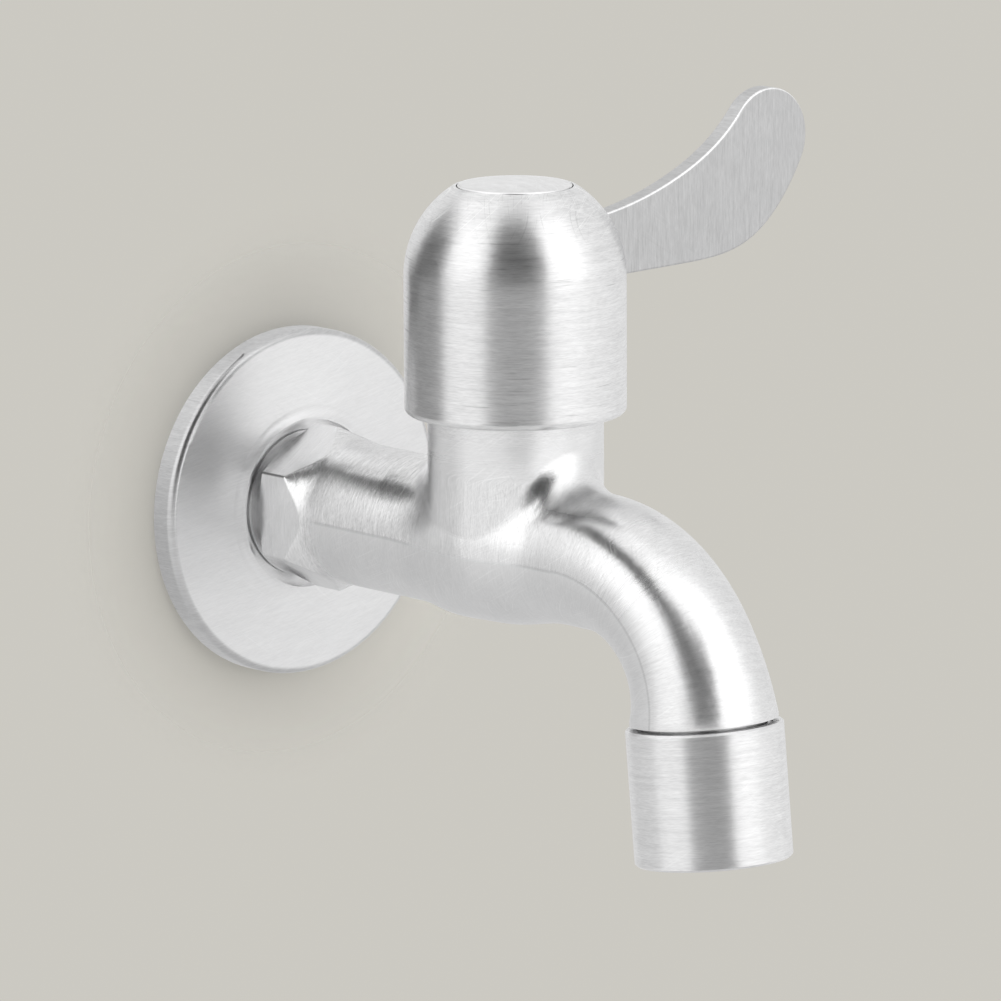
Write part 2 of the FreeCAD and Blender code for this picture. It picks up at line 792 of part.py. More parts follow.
def index_cap():
    """Plain button over the screw: crowned plate with a skirt that carries the rubber ring."""
    rim = dome_top + cap_proud
    under = rim - cap_plate
    skirt_outer = recess_radius - cap_ring_section - 0.06
    crown = rim + cap_crown
    start, end = (0, crown), (cap_radius - cap_edge, rim)
    round_middle = cap_edge * (1 - math.sqrt(0.5))
    cap = turned([
        start,
        ((cap_radius * 0.5, rim + cap_crown * 0.77), end),
        ((cap_radius - round_middle, rim - round_middle), (cap_radius, rim - cap_edge)),
        (cap_radius, under),
        (skirt_outer, under),
        (skirt_outer, recess_bottom),
        (skirt_outer - cap_skirt_wall, recess_bottom),
        (skirt_outer - cap_skirt_wall, under),
        (0, under),
    ])
    return on_valve(cap)


def cap_ring():
    """Rubber ring that holds the button in the dome's recess."""
    section = cap_ring_section / 2
    height = (recess_bottom + dome_top + cap_proud - cap_plate) / 2
    return on_valve(Part.makeTorus(recess_radius - section - 0.03, section, Vector(0, 0, height)))


def nozzle_collar():
    """Plain sleeve screwed on the spout, with a ledge and a lip that keep the aerator."""
    bore = spout_thread_radius + fit_gap
    pocket = aerator_radius + aerator_inner_gap
    return on_outlet(turned([
        (bore, collar_top),
        (collar_radius - collar_edge, collar_top),
        (collar_radius, collar_top + collar_edge),
        (collar_radius, collar_bottom - collar_edge),
        (collar_radius - collar_edge, collar_bottom),
        (collar_lip_radius, collar_bottom),
        (collar_lip_radius, aerator_bottom),
        (pocket, aerator_bottom),
        (pocket, collar_ledge),
        (bore, collar_ledge),
    ]))


def nozzle_washer():
    """Rubber ring between the spout's end and the aerator."""
    return on_outlet(ring(spout_bore_radius, aerator_flange_radius, spout_end, aerator_top))


def aerator_housing():
    """Moulded cup with a flange on the collar's ledge."""
    inner = aerator_radius - aerator_wall
    grid_top = aerator_bottom - grid_height
    return on_outlet(turned([
        (inner, aerator_top),
        (aerator_flange_radius, aerator_top),
        (aerator_flange_radius, collar_ledge),
        (aerator_radius, collar_ledge),
        (aerator_radius, aerator_bottom),
        (inner, aerator_bottom),
        (inner, grid_top),
        (inner - 0.5, grid_top),
        (inner - 0.5, aerator_top + diffuser_height),
        (inner, aerator_top + diffuser_height),
    ]))


def aerator_diffuser():
    """Disc of small jets that breaks up the flow."""
    radius = aerator_radius - aerator_wall - aerator_inner_gap
    disc = cylinder(radius, aerator_top, aerator_top + diffuser_height)
    for i in range(diffuser_hole_count):
        turn = 2 * math.pi * i / diffuser_hole_count
        hole = cylinder(diffuser_hole_radius, aerator_top, aerator_top + diffuser_height)
        hole.translate(Vector(diffuser_hole_circle * math.cos(turn), diffuser_hole_circle * math.sin(turn), 0))
        disc = disc.cut(hole)
    return on_outlet(disc)


def aerator_screens():
    """Coarse woven discs below the diffuser, as flat holed discs."""
    radius = aerator_radius - aerator_wall - 0.5 - aerator_inner_gap
    pitch = screen_hole + screen_bar
    reach = int(radius // pitch)
    screens = []
    for i in range(screen_count):
        low = aerator_top + diffuser_height + screen_pitch * i
        screen = cylinder(radius, low, low + screen_thickness)
        holes = []
        for column in range(-reach, reach + 1):
            for row in range(-reach, reach + 1):
                x, y = column * pitch, row * pitch
                if math.hypot(abs(x) + screen_hole / 2, abs(y) + screen_hole / 2) < radius - screen_bar:
                    holes.append(box(screen_hole, screen_hole, low, low + screen_thickness, x, y))
        screens.append(screen.cut(Part.makeCompound(holes)))
    return on_outlet(Part.makeCompound(screens))


def aerator_grid():
    """Honeycomb at the outlet that straightens the stream."""
    radius = aerator_radius - aerator_wall - aerator_inner_gap
    low, high = aerator_bottom - grid_height, aerator_bottom
    disc = cylinder(radius, low, high)
    rows = int(radius // grid_hole_pitch)
    holes = []
    for a in range(-rows, rows + 1):
        for b in range(-rows, rows + 1):
            x = grid_hole_pitch * (a + b / 2)
            y = grid_hole_pitch * b * math.sqrt(3) / 2
            if math.hypot(x, y) + grid_hole_radius < radius - 0.6:
                hole = hexagon(2 * grid_hole_radius, low, high, 90)
                hole.translate(Vector(x, y, 0))
                holes.append(hole)
    return on_outlet(disc.cut(Part.makeCompound(holes)))


PIECES = {
    "tap_body": tap_body,
    "wall_flange": wall_flange,
    "seat_seal": seat_seal,
    "fixed_disc": fixed_disc,
    "moving_disc": moving_disc,
    "cartridge_barrel": cartridge_barrel,
    "cartridge_gasket": cartridge_gasket,
    "thrust_washer": thrust_washer,
    "spindle": spindle,
    "spindle_o_rings": spindle_o_rings,
    "spindle_circlip": spindle_circlip,
    "handle_dome": handle_dome,
    "lever_blade": lever_blade,
    "spline_insert": spline_insert,
    "spring_washer": spring_washer,
    "handle_screw": handle_screw,
    "index_cap": index_cap,
    "cap_ring": cap_ring,
    "nozzle_collar": nozzle_collar,
    "nozzle_washer": nozzle_washer,
    "aerator_housing": aerator_housing,
    "aerator_diffuser": aerator_diffuser,
    "aerator_screens": aerator_screens,
    "aerator_grid": aerator_grid,
}


def main():
    """Builds every piece and writes it to its own file."""
    os.makedirs("parts", exist_ok=True)
    for name, make in PIECES.items():
        shape = make()
        sound = shape.isValid() and all(solid.isClosed() for solid in shape.Solids)
        print(name, "solids", len(shape.Solids), "faces", len(shape.Faces),
              "volume", round(shape.Volume, 1), "" if sound else "NOT SOUND")
        shape.exportStep(os.path.join("parts", name + ".step"))


main()
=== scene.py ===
"""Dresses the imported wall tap: satin and brushed steel, cut threads, a pale wall and soft studio light.

Lengths are in metres, in the tap's own frame: the inlet lies along Y with the wall at Y = 0, Z is up
and the lever points to +X.
"""
import math
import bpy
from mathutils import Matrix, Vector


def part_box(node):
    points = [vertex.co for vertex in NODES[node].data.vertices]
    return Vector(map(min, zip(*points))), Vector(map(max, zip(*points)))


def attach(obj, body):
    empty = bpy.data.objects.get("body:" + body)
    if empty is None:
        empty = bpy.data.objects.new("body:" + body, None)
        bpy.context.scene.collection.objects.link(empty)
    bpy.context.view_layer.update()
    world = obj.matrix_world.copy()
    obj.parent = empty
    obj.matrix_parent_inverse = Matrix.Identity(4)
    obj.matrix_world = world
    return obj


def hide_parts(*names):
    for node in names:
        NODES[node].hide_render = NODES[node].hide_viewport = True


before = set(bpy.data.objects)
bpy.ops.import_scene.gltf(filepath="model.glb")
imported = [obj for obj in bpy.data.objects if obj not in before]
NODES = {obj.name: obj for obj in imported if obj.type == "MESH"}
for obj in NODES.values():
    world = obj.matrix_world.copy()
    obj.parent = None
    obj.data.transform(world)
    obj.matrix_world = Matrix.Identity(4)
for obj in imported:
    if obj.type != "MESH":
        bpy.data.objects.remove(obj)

from types import SimpleNamespace

import bpy
from bpy.props import FloatProperty, FloatVectorProperty, PointerProperty
from bpy.types import Operator, Panel, PropertyGroup
from mathutils import Euler, Matrix, Vector

bl_info = {
    "name": "Wall tap dresser",
    "version": (1, 0, 0),
    "blender": (4, 5, 0),
    "location": "View3D > Sidebar > Tap",
    "description": "Gives the packed wall tap its steel finishes, threads, wall and light",
    "category": "Object",
}

# Places on the tap, in metres.
VALVE_LOW, VALVE_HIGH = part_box("spindle")
VALVE_Y = (VALVE_LOW.y + VALVE_HIGH.y) / 2
BEND_Y, BEND_Z, BEND_RADIUS = -0.0768, -0.02355, 0.024   # the spout's bend: its centre and radius
TILT = math.radians(6.0)                                 # the outlet leans this much off plumb
OUTLET = Vector((0.0, -0.1006685, -0.0210413))           # where the spout's thread starts
OUTLET_AXIS = (0.0, -math.sin(TILT), -math.cos(TILT))
INLET_AXIS = (0.0, 1.0, 0.0)
WHITE = (1.0, 1.0, 1.0)

# Threads, in metres where not said otherwise.
PAST_END = 0.001          # how far a selection reaches past the end of a thread
HAIR = 0.00005            # keeps a selection off the ring where a thread starts
RING = 0.0002             # how far from the outside radius a vertex still counts as being on it
SINK = 0.00015            # depth of a ridge's foot inside the root
FOOT, CREST_FLAT = 0.96, 0.16   # width of a ridge's foot in pitches, and of its crest in feet
TURN_STEPS = 40           # steps in one turn of a ridge
INLET_START, OUTLET_START, RUN_OUT = 0.0004, 0.0012, 0.0006
MERGE = 0.000002
SMOOTH_BELOW = math.radians(28)

# Nodes and pieces by the surroundings that they need.
DOME = ("handle_dome",)
DOMED = ("handle_dome", "nozzle_collar")
DOMED_FLANGE = ("handle_dome", "nozzle_collar", "wall_flange")
CAST = ("body_casting", "inlet_thread", "outlet_thread")

GROUPS = {}   # the shared node groups by name
PIECES = {}   # the scene's own pieces by name


def length(name, note, default):
    """A length property in metres."""
    return FloatProperty(name=name, description=note, default=default, unit="LENGTH", precision=5)


def share(name, note, default):
    """A plain number between nothing and all."""
    return FloatProperty(name=name, description=note, default=default, min=0.0, max=1.0, subtype="FACTOR")


def amount(name, note, default):
    """A plain number without a unit."""
    return FloatProperty(name=name, description=note, default=default)


def colour(name, note, default):
    """A colour property."""
    return FloatVectorProperty(name=name, description=note, default=default, size=3, min=0.0, max=1.0,
                               subtype="COLOR")


class StudioSettings(PropertyGroup):
    """Wall, floor, screens, the near card of painted wall shadow and the camera."""
    backdrop_colour: colour("Backdrop", "Plain pale surroundings, as seen", (0.60, 0.585, 0.54))
    wall_colour: colour("Wall", "Paint of the wall round the flange", (0.70, 0.683, 0.632))
    wall_radius: length("Wall radius", "Where the wall has faded into the backdrop", 0.050)
    wall_solid: share("Solid wall", "Share of that radius before the fade starts", 0.62)
    floor_colour: colour("Floor", "Plain pale floor", (0.72, 0.71, 0.68))
    floor_drop: length("Floor drop", "Floor below the inlet axis", 0.42)
    floor_radius: length("Floor radius", "Where the floor has faded into the backdrop", 0.74)
    floor_solid: length("Solid floor", "Radius where the fade starts", 0.35)
    screen_level: amount("Screens", "Brightness of the screens", 1.0)
    screen_radius: length("Studio radius", "Distance of the screens from the tap", 0.9)
    # The near card is painted shade: a dark card, seen only in the steel, in place of the wall's shadow beside
    # the flange.
    card_level: amount("Card", "Tone of the near card that draws the dark line on the arm", 0.08)
    card_place: FloatVectorProperty(name="Card place", description="Middle of the near card", size=3,
                                    default=(-0.023, -0.003, 0.0365), subtype="TRANSLATION")
    card_width: length("Card width", "Width of the near card", 0.022)
    card_height: length("Card height", "Height of the near card", 0.020)
    camera_place: FloatVectorProperty(name="Camera", description="Where the camera stands", size=3,
                                      default=(-0.925012, -1.082271, 0.274649), subtype="TRANSLATION")
    camera_yaw: FloatProperty(name="Yaw", description="Turn from +Y towards +X", default=0.732, subtype="ANGLE")
    camera_pitch: FloatProperty(name="Pitch", description="Tilt down", default=0.191, subtype="ANGLE")
    camera_roll: FloatProperty(name="Roll", description="Turn about the view", default=-0.004, subtype="ANGLE")
    lens: amount("Lens", "Focal length in millimetres on a 36 mm sensor", 314.0979)


class ThreadSettings(PropertyGroup):
    """Threads of the shank and of the spout's end."""
    inlet_crest: length("Inlet thread", "Outside radius of the half-inch pipe thread", 0.010478)
    inlet_root: length("Inlet root", "Root radius of the pipe thread", 0.009320)
    inlet_pitch: length("Inlet pitch", "14 threads to the inch", 0.001814)
    inlet_length: length("Inlet length", "Thread behind the wall plane", 0.0131)
    outlet_crest: length("Outlet thread", "Outside radius of the spout's thread", 0.0109)
    outlet_root: length("Outlet root", "Root radius of the spout's thread", 0.0103)
    outlet_pitch: length("Outlet pitch", "Pitch of the spout's thread", 0.001)
    outlet_length: length("Outlet length", "Length of the spout's thread", 0.010)


class SteelSettings(PropertyGroup):
    """Tones and grain of the steel."""
    steel: colour("Steel", "Reflection colour of the brushed steel", (0.84, 0.84, 0.842))
    casting: colour("Casting", "Reflection colour of the satin casting", (0.82, 0.82, 0.822))
    flange: colour("Flange", "Reflection colour of the flange", (0.80, 0.80, 0.803))
    cap: colour("Cap", "Reflection colour of the cap", (0.88, 0.88, 0.882))
    grain: length("Grain", "Width of one brush line", 0.00010)
    grain_depth: length("Grain depth", "Depth of the brush lines", 0.000008)
    dome_roughness: share("Dome roughness", "Blur of the dome's reflections", 0.36)
    body_roughness: share("Casting roughness", "Blur of the casting's reflections", 0.24)
    flange_roughness: share("Flange roughness", "Blur of the flange's reflections", 0.30)
    blade_roughness: share("Blade roughness", "Blur of the lever's reflections", 0.42)
    cap_roughness: share("Cap roughness", "Blur of the cap's reflections", 0.30)
    blade: colour("Blade", "Reflection colour of the lever", (0.58, 0.58, 0.582))


# ---------------------------------------------------------------- shader helpers


def add(tree, kind, feeds=None, **settings):
    """A node with its settings, its inputs fed by sockets or set to values."""
    node = tree.nodes.new(kind)
    for name, value in settings.items():
        setattr(node, name, value)
    for name, value in (feeds or {}).items():
        feed(tree, node.inputs[name], value)
    return node


def feed(tree, socket, value):
    """Links a socket, or sets its value."""
    if isinstance(value, bpy.types.NodeSocket):
        tree.links.new(value, socket)
    elif socket.type == "RGBA" and len(value) == 3:
        socket.default_value = (*value, 1.0)
    else:
        socket.default_value = value


def calc(tree, operation, *values):
    """A maths node's result."""
    node = tree.nodes.new("ShaderNodeMath")
    node.operation = operation
    for socket, value in zip(node.inputs, values):
        feed(tree, socket, value)
    return node.outputs[0]


def times(tree, first, *others):
    """The product of numbers."""
    for other in others:
        first = calc(tree, "MULTIPLY", first, other)
    return first


def plus(tree, first, *others):
    """The sum of numbers."""
    for other in others:
        first = calc(tree, "ADD", first, other)
    return first


def minus(tree, first, second):
    """The difference of two numbers."""
    return calc(tree, "SUBTRACT", first, second)


def most(tree, first, *others):
    """The largest of some numbers."""
    for other in others:
        first = calc(tree, "MAXIMUM", first, other)
    return first


def size_of(tree, first, second):
    """The length of two numbers at right angles."""
    return calc(tree, "SQRT", plus(tree, times(tree, first, first), times(tree, second, second)))


def move(tree, operation, *values):
    """A vector maths node's result: a number for dot products and lengths, else a vector."""
    node = tree.nodes.new("ShaderNodeVectorMath")
    node.operation = operation
    for socket, value in zip(node.inputs, values):
        feed(tree, socket, value)
    return node.outputs["Value" if operation in ("DOT_PRODUCT", "LENGTH") else "Vector"]


def ramp(tree, value, low, high, start=0.0, end=1.0):
    """A value eased between two ends."""
    node = add(tree, "ShaderNodeMapRange", {"Value": value, "From Min": low, "From Max": high,
                                            "To Min": start, "To Max": end}, interpolation_type="SMOOTHSTEP")
    return node.outputs["Result"]


def blend(tree, mask, first, second):
    """Two numbers mixed by a mask."""
    node = tree.nodes.new("ShaderNodeMix")
    node.data_type = "FLOAT"
    for name, value in (("Factor", mask), ("A", first), ("B", second)):
        feed(tree, [s for s in node.inputs if s.name == name and s.type == "VALUE"][0], value)
    return [s for s in node.outputs if s.type == "VALUE"][0]


def scaled(tree, vector, factor):
    """A vector times a number."""
    node = add(tree, "ShaderNodeVectorMath", {0: vector}, operation="SCALE")
    feed(tree, node.inputs["Scale"], factor)
    return node.outputs[0]


def join_xyz(tree, x, y, z):
    """A vector from three numbers."""
    return add(tree, "ShaderNodeCombineXYZ", {"X": x, "Y": y, "Z": z}).outputs[0]


def split_xyz(tree, vector):
    """The three numbers of a vector."""
    node = add(tree, "ShaderNodeSeparateXYZ", {0: vector})
    return node.outputs[0], node.outputs[1], node.outputs[2]


def new_group(name, inputs, outputs):
    """An empty node group with named sockets; inputs give kind and default."""
    group = bpy.data.node_groups.new(name, "ShaderNodeTree")
    for label, (kind, default) in inputs.items():
        socket = group.interface.new_socket(name=label, in_out="INPUT", socket_type=kind)
        if default is not None:
            socket.default_value = default
    for label, kind in outputs.items():
        group.interface.new_socket(name=label, in_out="OUTPUT", socket_type=kind)
    start = group.nodes.new("NodeGroupInput")
    end = group.nodes.new("NodeGroupOutput")
    return group, start.outputs, end.inputs


def noise(tree, place, detail=2.0, roughness=0.5):
    """Noise at a place already scaled to its own lines, from 0 to 1."""
    node = add(tree, "ShaderNodeTexNoise", {"Vector": place, "Scale": 1.0, "Detail": detail,
                                            "Roughness": roughness}, noise_dimensions="3D")
    return node.outputs[0]


BRUSH_LINES = (   # how much finer and how much longer than one line, and the noise's detail
    (1.0, 1.0, 2.0), (0.7, 0.3, 1.0), (0.2, 1.7, 3.0), (0.45, 0.8, 1.0))
HEIGHT_SHARES = (0.5, 0.3, 0.2)   # of the fine, short and broad lines
CLOUDS_PER_METRE = 140.0
CLOUD_DRIFT = 0.06
COARSE_LEAST, COARSE_SPAN = 0.85, 0.3   # roughness along the broad lines


def brush_group():
    """Brush lines across X of the place: fine, short and broad ones along Y and Z, and a slow cloud."""
    group, given, result = new_group(
        "Brush Lines",
        {"Place": ("NodeSocketVector", None), "Line Width": ("NodeSocketFloat", 0.0001),
         "Line Length": ("NodeSocketFloat", 0.01), "Roughness": ("NodeSocketFloat", 0.3),
         "Streak": ("NodeSocketFloat", 0.3)},
        {"Height": "NodeSocketFloat", "Tone": "NodeSocketFloat", "Roughness": "NodeSocketFloat",
         "Sway": "NodeSocketFloat"})
    x, y, z = split_xyz(group, given["Place"])
    across = calc(group, "DIVIDE", x, given["Line Width"])
    length_y = calc(group, "DIVIDE", y, given["Line Length"])
    length_z = calc(group, "DIVIDE", z, given["Line Length"])

    def lines(finer, longer, detail):
        """Noise in lines, finer across and longer along than one line."""
        return noise(group, join_xyz(group, times(group, across, finer),
                                     calc(group, "DIVIDE", length_y, longer),
                                     calc(group, "DIVIDE", length_z, longer)), detail, 0.6)

    fine, short, broad, sway = [lines(*row) for row in BRUSH_LINES]
    cloud = noise(group, move(group, "MULTIPLY", given["Place"], (CLOUDS_PER_METRE,) * 3))
    feed(group, result["Height"], plus(group, *[times(group, part, share_of) for part, share_of
                                                in zip((fine, short, broad), HEIGHT_SHARES)]))
    lines_tone = times(group, minus(group, plus(group, fine, short, broad), 1.5), given["Streak"])
    drift = times(group, minus(group, cloud, 0.5), CLOUD_DRIFT)
    feed(group, result["Tone"], plus(group, lines_tone, 1.0, drift))
    coarse = plus(group, COARSE_LEAST, times(group, broad, COARSE_SPAN))
    feed(group, result["Roughness"], times(group, given["Roughness"], coarse))
    feed(group, result["Sway"], minus(group, sway, 0.5))
    return group


SCRATCH_WAYS = ((0.5, 0.5, 0.7), (-0.5, 0.4, 0.75), (0.3, -0.8, 0.5), (0.75, 0.15, -0.62))
SCRATCH_EDGE = 0.65, 0.73   # noise where a scratch starts, and where it is full
SCRATCH_SHIFT = 7.3         # keeps the ways apart in the noise


def scratch_group():
    """Thin scratches that cross each other: a mask of bright ones and one of dark ones."""
    group, given, result = new_group(
        "Scratches", {"Place": ("NodeSocketVector", None), "Width": ("NodeSocketFloat", 0.00011),
                      "Length": ("NodeSocketFloat", 0.011)},
        {"Bright": "NodeSocketFloat", "Dark": "NodeSocketFloat"})

    def reach(way, unit):
        """How far the place lies along a way, in units."""
        return calc(group, "DIVIDE", move(group, "DOT_PRODUCT", given["Place"], way), given[unit])

    masks = []
    for i, way in enumerate(SCRATCH_WAYS):
        way = Vector(way).normalized()
        side = way.orthogonal().normalized()
        along = [plus(group, reach(v, "Length"), SCRATCH_SHIFT * i) for v in (side, way.cross(side))]
        masks.append(ramp(group, noise(group, join_xyz(group, reach(way, "Width"), *along), 1.0, 0.4),
                          *SCRATCH_EDGE))
    feed(group, result["Bright"], most(group, *masks[:2]))
    feed(group, result["Dark"], most(group, *masks[2:]))
    return group


def group_node(tree, group, feeds):
    """A group placed in a tree."""
    node = tree.nodes.new("ShaderNodeGroup")
    node.node_tree = group
    for name, value in feeds.items():
        feed(tree, node.inputs[name], value)
    return node


def new_material(name):
    """A material with an empty Principled shader, ready for its nodes."""
    material = bpy.data.materials.new(name)
    material.use_nodes = True
    shader = next(n for n in material.node_tree.nodes if n.type == "BSDF_PRINCIPLED")
    return material, material.node_tree, shader


def object_place(tree):
    """Object coordinates, in metres."""
    return add(tree, "ShaderNodeTexCoord").outputs["Object"]


def world_vector(tree, direction):
    """A direction fixed to the piece, as the shader needs it."""
    return add(tree, "ShaderNodeVectorTransform", {"Vector": direction}, vector_type="VECTOR",
               convert_from="OBJECT", convert_to="WORLD").outputs[0]


DARK_SHARE, DARK_DEPTH = 0.5, 0.4   # of a dark scratch, against a bright one and a brush line


def steel(name, base, roughness, anisotropy, place, tangent, width, reach, depth, streak, scratches, sway,
          zones):
    """Brushed steel: place(tree) gives the brush coordinates, tangent(tree) the way highlights spread, and
    zones(tree) the factors on tone, roughness, streak and scratches where the finish changes or where highlight
    or shade is painted into the tone."""
    material, tree, shader = new_material(name)
    tone_zone, rough_zone, streak_zone, scratch_zone = zones(tree)
    lines = group_node(tree, GROUPS["brush"], {
        "Place": place(tree), "Line Width": width, "Line Length": reach,
        "Roughness": times(tree, rough_zone, roughness), "Streak": times(tree, streak_zone, streak)})
    marks = group_node(tree, GROUPS["scratch"], {"Place": object_place(tree)})
    bright, dark = marks.outputs["Bright"], marks.outputs["Dark"]
    shine = times(tree, minus(tree, bright, times(tree, dark, DARK_SHARE)),
                  times(tree, scratch_zone, scratches))
    level = times(tree, plus(tree, lines.outputs["Tone"], shine), tone_zone)
    feed(tree, shader.inputs["Base Color"], move(tree, "MINIMUM", scaled(tree, tuple(base), level), WHITE))
    feed(tree, shader.inputs["Roughness"], lines.outputs["Roughness"])
    shader.inputs["Metallic"].default_value = 1.0
    shader.inputs["Anisotropic"].default_value = anisotropy
    spread = tangent(tree)
    feed(tree, shader.inputs["Tangent"], spread)
    facing = add(tree, "ShaderNodeNewGeometry").outputs["Normal"]
    lean = scaled(tree, move(tree, "CROSS_PRODUCT", facing, spread), times(tree, lines.outputs["Sway"], sway))
    dents = minus(tree, lines.outputs["Height"], times(tree, dark, DARK_DEPTH))
    bump = add(tree, "ShaderNodeBump", {"Height": dents, "Strength": 1.0, "Distance": depth,
                                        "Normal": move(tree, "NORMALIZE", move(tree, "ADD", facing, lean))})
    feed(tree, shader.inputs["Normal"], bump.outputs[0])
    return material


SPECK_SIZE, SPECK_TONE, SPECK_BLUR, SPECK_DEPTH = 0.0006, 0.06, 0.15, 0.000004


def plain(name, base, roughness, metallic):
    """A moulded or machined finish with a fine speckle."""
    material, tree, shader = new_material(name)
    cloud = noise(tree, move(tree, "MULTIPLY", object_place(tree), (1 / SPECK_SIZE,) * 3), 3.0, 0.6)
    feed(tree, shader.inputs["Base Color"],
         scaled(tree, base, ramp(tree, cloud, 0.25, 0.75, 1 - SPECK_TONE, 1 + SPECK_TONE)))
    feed(tree, shader.inputs["Roughness"],
         ramp(tree, cloud, 0.2, 0.8, roughness * (1 - SPECK_BLUR), roughness * (1 + SPECK_BLUR)))
    shader.inputs["Metallic"].default_value = metallic
    bump = add(tree, "ShaderNodeBump", {"Height": cloud, "Strength": 1.0, "Distance": SPECK_DEPTH})
    feed(tree, shader.inputs["Normal"], bump.outputs[0])
    return material


# ---------------------------------------------------------------- brush directions


FACE_TILT = 0.17   # radians that the flange's brush lines are off level

# The neck's mask in metres: heights between which it starts, and distances from the valve where it ends.
NECK_HEIGHT = 0.013, 0.020
NECK_REACH = 0.0150, 0.0165


def around_z(tree):
    """Lines round an upright axis: across is the height."""
    x, y, z = split_xyz(tree, object_place(tree))
    return join_xyz(tree, z, x, y)


def over_face(tree):
    """Straight lines over the flange's face, a little off level."""
    tilted = add(tree, "ShaderNodeMapping", {"Vector": object_place(tree),
                                             "Rotation": Euler((0.0, FACE_TILT, 0.0))})
    x, y, z = split_xyz(tree, tilted.outputs[0])
    return join_xyz(tree, z, x, y)


def around_outlet(tree):
    """Lines round the outlet axis."""
    place = object_place(tree)
    x, y, z = split_xyz(tree, place)
    return join_xyz(tree, move(tree, "DOT_PRODUCT", place, OUTLET_AXIS), x, y)


def pipe(tree):
    """The pipe's measures at a point: its X, Y and Z, how far in front of the bend's centre and above it, the
    mask of the bend, the angle round it, the distance from the valve and the mask of the neck."""
    x, y, z = split_xyz(tree, object_place(tree))
    ahead = minus(tree, BEND_Y, y)
    above = minus(tree, z, BEND_Z)
    off_valve = calc(tree, "ABSOLUTE", minus(tree, y, VALVE_Y))
    return SimpleNamespace(
        x=x, y=y, z=z, ahead=ahead, above=above, off_valve=off_valve,
        in_bend=calc(tree, "GREATER_THAN", ahead, 0.0), angle=calc(tree, "ARCTAN2", ahead, above),
        neck=times(tree, ramp(tree, z, *NECK_HEIGHT), ramp(tree, off_valve, *NECK_REACH, 1.0, 0.0)))


def around_pipe(tree):
    """Lines round the pipe's own line: level first, then down the bend, and round the neck above."""
    at = pipe(tree)
    bent = plus(tree, -BEND_Y, times(tree, at.angle, BEND_RADIUS))
    along = blend(tree, at.in_bend, times(tree, at.y, -1.0), bent)
    return join_xyz(tree, blend(tree, at.neck, along, at.z), at.x, plus(tree, at.y, at.z))


def upright(tree):
    """Highlights spread up and down."""
    return world_vector(tree, (0.0, 0.0, 1.0))


def sideways(tree):
    """Highlights spread along X."""
    return world_vector(tree, (1.0, 0.0, 0.0))


def down_outlet(tree):
    """Highlights spread along the outlet."""
    return world_vector(tree, OUTLET_AXIS)


def down_pipe(tree):
    """Highlights spread along the pipe's own line."""
    at = pipe(tree)
    angle = calc(tree, "ARCTAN2", most(tree, at.ahead, 0.0), at.above)
    neck = ramp(tree, at.z, *NECK_HEIGHT)
    level = times(tree, calc(tree, "COSINE", angle), -1.0)
    fall = times(tree, calc(tree, "SINE", angle), -1.0)
    return world_vector(tree, join_xyz(tree, 0.0, blend(tree, neck, level, 0.0), blend(tree, neck, fall, 1.0)))


# ---------------------------------------------------------------- zones of a finish, and of painted highlight and shade


# The casting's zones, in metres: where each one starts and is full.
LINE_HEIGHT = 0.0003             # the grinder's line on the arm
LINE_EDGE = 0.00005, 0.00038
BELOW_EDGE = -0.0004, 0.0004
BELOW_BACK = -0.018, -0.022
LINE_BACK = -0.019, -0.021
CLEAR_OF_NECK = 0.010, 0.015
ROOT_HEIGHT = 0.0086, 0.0102
ROOT_BACK = -0.0700, -0.0725
ROOT_FRONT = -0.0930, -0.0880
ARM_FRONT = -0.048, -0.044
ARM_BACK = -0.0160, -0.0185
FALL_ANGLE = 0.35, 1.05          # radians round the bend
# How much each zone changes the finish.
LINE_DARK, BELOW_DARK = 0.16, 0.03
BELOW_SOFT, NECK_SOFT, ROOT_SOFT, FALL_SOFT = 0.75, 0.35, 0.6, 0.30
ARM_STREAK, BELOW_STREAK = 1.2, 0.45

RIM_RADIUS = 0.0276, 0.0282      # the flange's rim
# the rim's colour is darkened as painted shade; its extra streak is grain
RIM_PAINTED_SHADE, RIM_STREAK = 0.24, 1.6

HIGHLIGHT_UP = 0.2, 0.45            # how far the lever's painted highlight faces up and to the front
HIGHLIGHT_FRONT = -0.2, -0.45
# painted highlight: share by which the colour of the lever's upper front edge is brightened
PAINTED_HIGHLIGHT = 0.65

SHOULDER_HEIGHT = 0.050, 0.056   # the dome's shoulder
SCRATCH_LOW = 0.12               # share of the scratches below it
TURNING_FINE, TURNING_LONG = 2600.0, 110.0   # turning lines per metre across and along
TURNING_EDGE = 0.70, 0.76
TURNING_DARK = 0.22


def inverse(tree, value, strength=1.0):
    """One less a share of a mask."""
    return minus(tree, 1.0, times(tree, value, strength))


def even(tree):
    """The same finish all over."""
    return 1.0, 1.0, 1.0, 1.0


